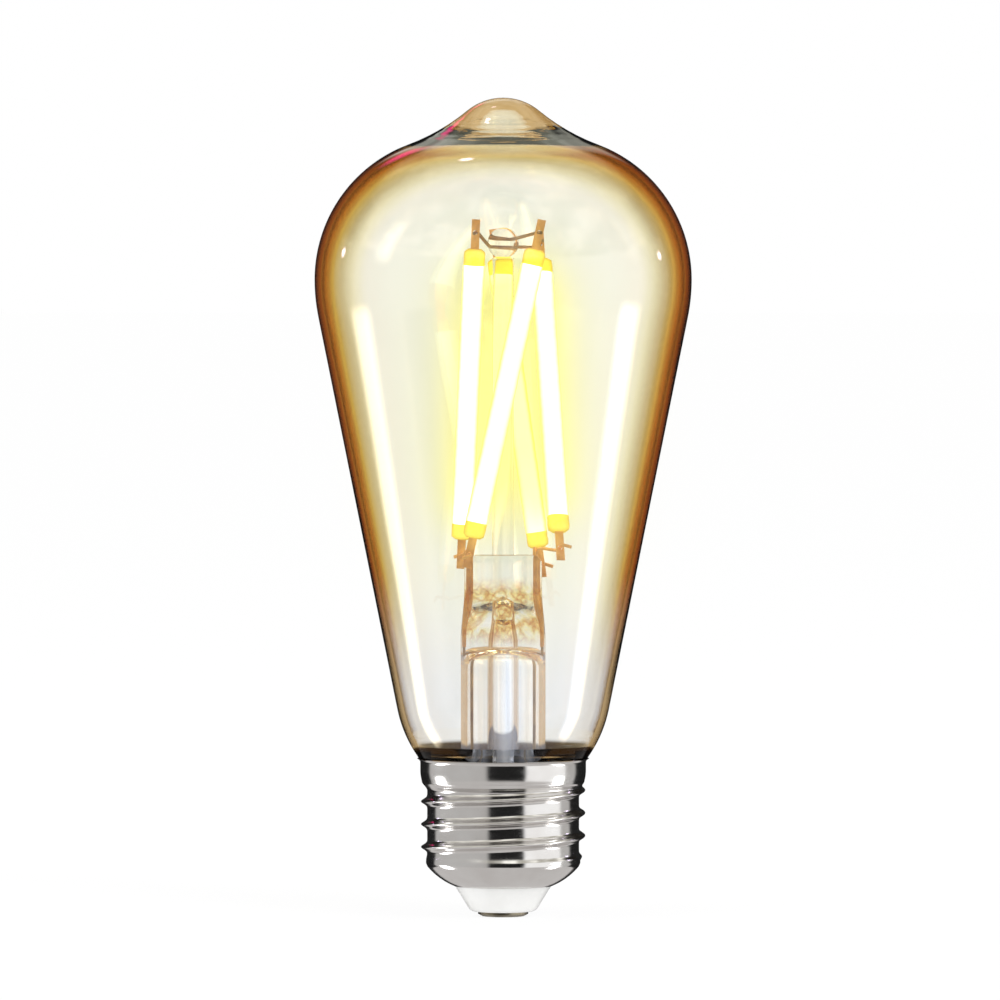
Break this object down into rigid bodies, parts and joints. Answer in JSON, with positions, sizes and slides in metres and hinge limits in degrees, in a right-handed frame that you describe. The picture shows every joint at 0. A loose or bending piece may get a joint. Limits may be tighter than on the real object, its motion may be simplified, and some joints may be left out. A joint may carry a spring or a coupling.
{
  "type": "smart light bulb",
  "caption": "Smart filament lamp: tapered tinted-glass envelope on a medium screw cap, LED filaments around a glass post, radio driver in the cap.",
  "frame": {"origin": "centre of the lowest face of the centre contact, on the lamp's axis", "axes": "+Z along the lamp's axis from the cap towards the glass tip, -Y towards the viewer of the front"},
  "size_m": [0.06, 0.06, 0.1303],
  "materials": {
    "tinted_glass": "clear blown glass with a warm metallic tint",
    "clear_glass": "clear drawn glass",
    "phosphor": "matt silicone filled with yellow phosphor",
    "carrier": "matt ceramic",
    "led_chip": "polished sapphire",
    "copper": "copper-clad wire and stamped copper tabs, slightly oxidised",
    "nickel_wire": "drawn nickel wire",
    "cement": "matt basing cement",
    "nickel_shell": "bright nickel-plated rolled brass sheet",
    "insulator": "white satin moulding",
    "contact_metal": "plated brass",
    "solder": "dull solder",
    "sleeve": "heat-resistant film",
    "board": "solder-masked glass-fibre laminate",
    "radio_board": "solder-masked glass-fibre laminate",
    "can_sleeve": "shrunk film over an aluminium can",
    "ferrite": "sintered ferrite",
    "winding": "enamelled copper wire",
    "chip_black": "moulded epoxy",
    "chip_ceramic": "fired ceramic",
    "tinned": "tinned metal",
    "resistor_body": "lacquered ceramic",
    "gold_plate": "gold flash",
    "live_cover": "wire insulation",
    "neutral_cover": "wire insulation"
  },
  "bodies": {
    "root": {"glass_envelope": "tinted_glass", "stem_tube": "clear_glass", "exhaust_tube": "clear_glass", "centre_post": "clear_glass", "seal_wires": "copper", "lead_hook_left": "copper", "lead_hook_right": "copper", "bridge_wire_low": "nickel_wire", "bridge_wire_high": "nickel_wire", "output_wire_left": "nickel_wire", "output_wire_right": "nickel_wire", "filament_1_carrier": "carrier", "filament_1_chips": "led_chip", "filament_1_coat": "phosphor", "filament_1_tabs": "copper", "filament_2_carrier": "carrier", "filament_2_chips": "led_chip", "filament_2_coat": "phosphor", "filament_2_tabs": "copper", "filament_3_carrier": "carrier", "filament_3_chips": "led_chip", "filament_3_coat": "phosphor", "filament_3_tabs": "copper", "filament_4_carrier": "carrier", "filament_4_chips": "led_chip", "filament_4_coat": "phosphor", "filament_4_tabs": "copper", "basing_cement": "cement", "screw_shell": "nickel_shell", "cap_insulator": "insulator", "centre_contact": "contact_metal", "contact_rivet": "contact_metal", "shell_solder": "solder", "insulating_sleeve": "sleeve", "driver_board": "board", "smoothing_capacitor": "can_sleeve", "capacitor_leads": "tinned", "inductor_core": "ferrite", "inductor_winding": "winding", "bridge_rectifier": "chip_black", "rectifier_pins": "tinned", "driver_chip": "chip_black", "driver_chip_pins": "tinned", "chip_resistors": "chip_black", "chip_capacitors": "chip_ceramic", "fusible_resistor": "resistor_body", "radio_board": "radio_board", "radio_shield": "tinned", "radio_crystal": "tinned", "radio_antenna": "winding", "radio_pins": "gold_plate", "live_wire": "live_cover", "neutral_wire": "neutral_cover"}
  },
  "joints": []
}
